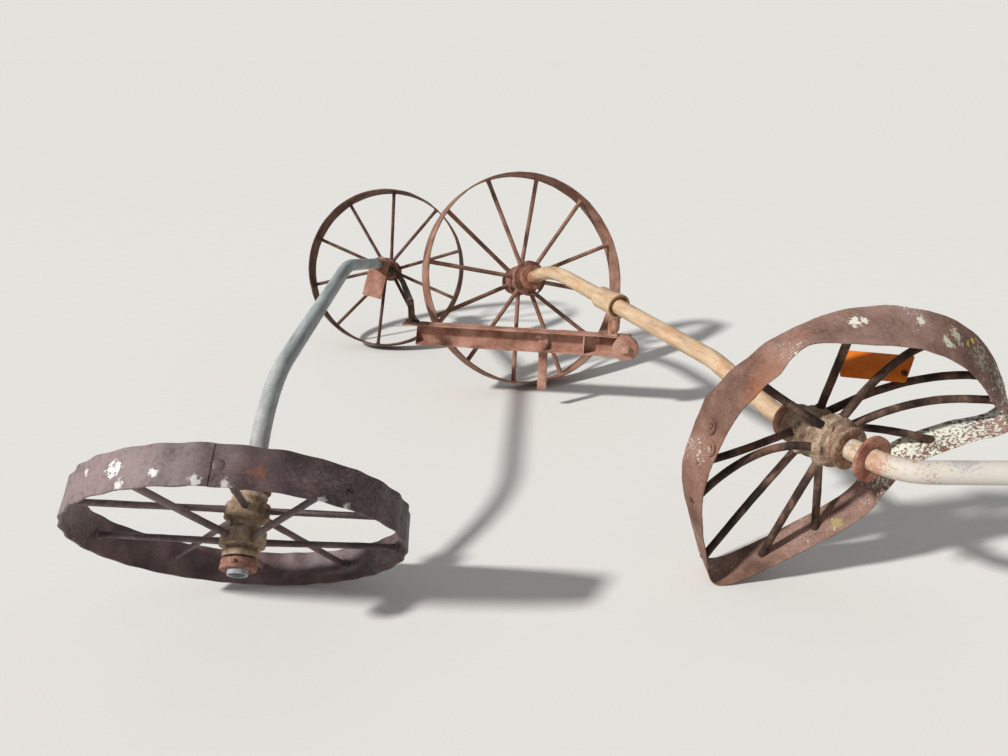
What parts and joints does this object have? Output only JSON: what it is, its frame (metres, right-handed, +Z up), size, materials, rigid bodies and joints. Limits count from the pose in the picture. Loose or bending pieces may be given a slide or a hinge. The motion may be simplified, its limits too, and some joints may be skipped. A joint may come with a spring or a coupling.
{
  "type": "hay rake running gear with steel wheels",
  "caption": "Running gear of an old hay rake: two bent pipe axles with spoked steel wheels, joined by a low tool beam.",
  "frame": {"origin": "on the ground, at the middle of the plan box", "axes": "+X to the right of the picture, +Y away from it, +Z up"},
  "size_m": [2.51, 2.9368, 0.9885],
  "materials": {
    "grey_galvanised": "weathered galvanised pipe, matt",
    "tan_galvanised": "galvanised pipe stained tan by rust",
    "orange_tag": "blank orange card",
    "red_brown_steel": "old red paint gone to rust",
    "dark_rusty_steel": "dark purple-brown rust",
    "rusty_cast_iron": "rusty cast iron",
    "rusty_steel": "rusty steel strip"
  },
  "bodies": {
    "frame": {"left_axle_pipe": "grey_galvanised", "left_rear_cap_collar": "rusty_steel", "left_rear_collar": "rusty_steel", "left_front_collar": "rusty_steel", "left_front_cap_collar": "rusty_steel", "right_crank_pipe": "tan_galvanised", "right_sleeve": "tan_galvanised", "right_main_pipe": "tan_galvanised", "right_rear_cap_collar": "rusty_steel", "right_rear_collar": "rusty_steel", "right_disc_collar": "rusty_steel", "right_front_collar": "rusty_steel", "right_washer": "rusty_steel", "right_coupling": "tan_galvanised", "tool_beam": "red_brown_steel", "beam_rib": "red_brown_steel", "beam_end_disc": "red_brown_steel", "shank": "red_brown_steel", "left_arm": "red_brown_steel", "right_hanger": "red_brown_steel", "shield_plate": "red_brown_steel"},
    "rear_right_wheel": {"rear_right_rim": "rusty_steel", "rear_right_spokes": "rusty_steel", "rear_right_hub": "rusty_cast_iron"},
    "rear_left_wheel": {"rear_left_rim": "rusty_steel", "rear_left_spokes": "rusty_steel", "rear_left_hub": "rusty_cast_iron"},
    "front_left_wheel": {"front_left_rim": "dark_rusty_steel", "front_left_spokes": "dark_rusty_steel", "front_left_hub": "dark_rusty_steel"},
    "front_right_wheel": {"front_right_rim": "rusty_steel", "front_right_spokes": "rusty_steel", "front_right_hub": "rusty_cast_iron", "tag": "orange_tag"}
  },
  "joints": [
    {"name": "rear_right_wheel_spin", "type": "hinge", "parent": "frame", "child": "rear_right_wheel", "pos_m": [-0.0509, 0.73726, 0.49424], "axis": [0.3879, -0.8552, 0.3437], "continuous": true},
    {"name": "rear_left_wheel_spin", "type": "hinge", "parent": "frame", "child": "rear_left_wheel", "pos_m": [-0.8039, 1.24626, 0.4133], "axis": [-0.128, -0.9109, 0.3923], "continuous": true},
    {"name": "front_left_wheel_spin", "type": "hinge", "parent": "frame", "child": "front_left_wheel", "pos_m": [-0.8269, -1.16674, 0.36923], "axis": [0.0028, -0.7902, -0.6129], "continuous": true},
    {"name": "front_right_wheel_spin", "type": "hinge", "parent": "frame", "child": "front_right_wheel", "pos_m": [0.72811, -0.95774, 0.52539], "axis": [0.4176, -0.9066, 0.061], "continuous": true}
  ]
}
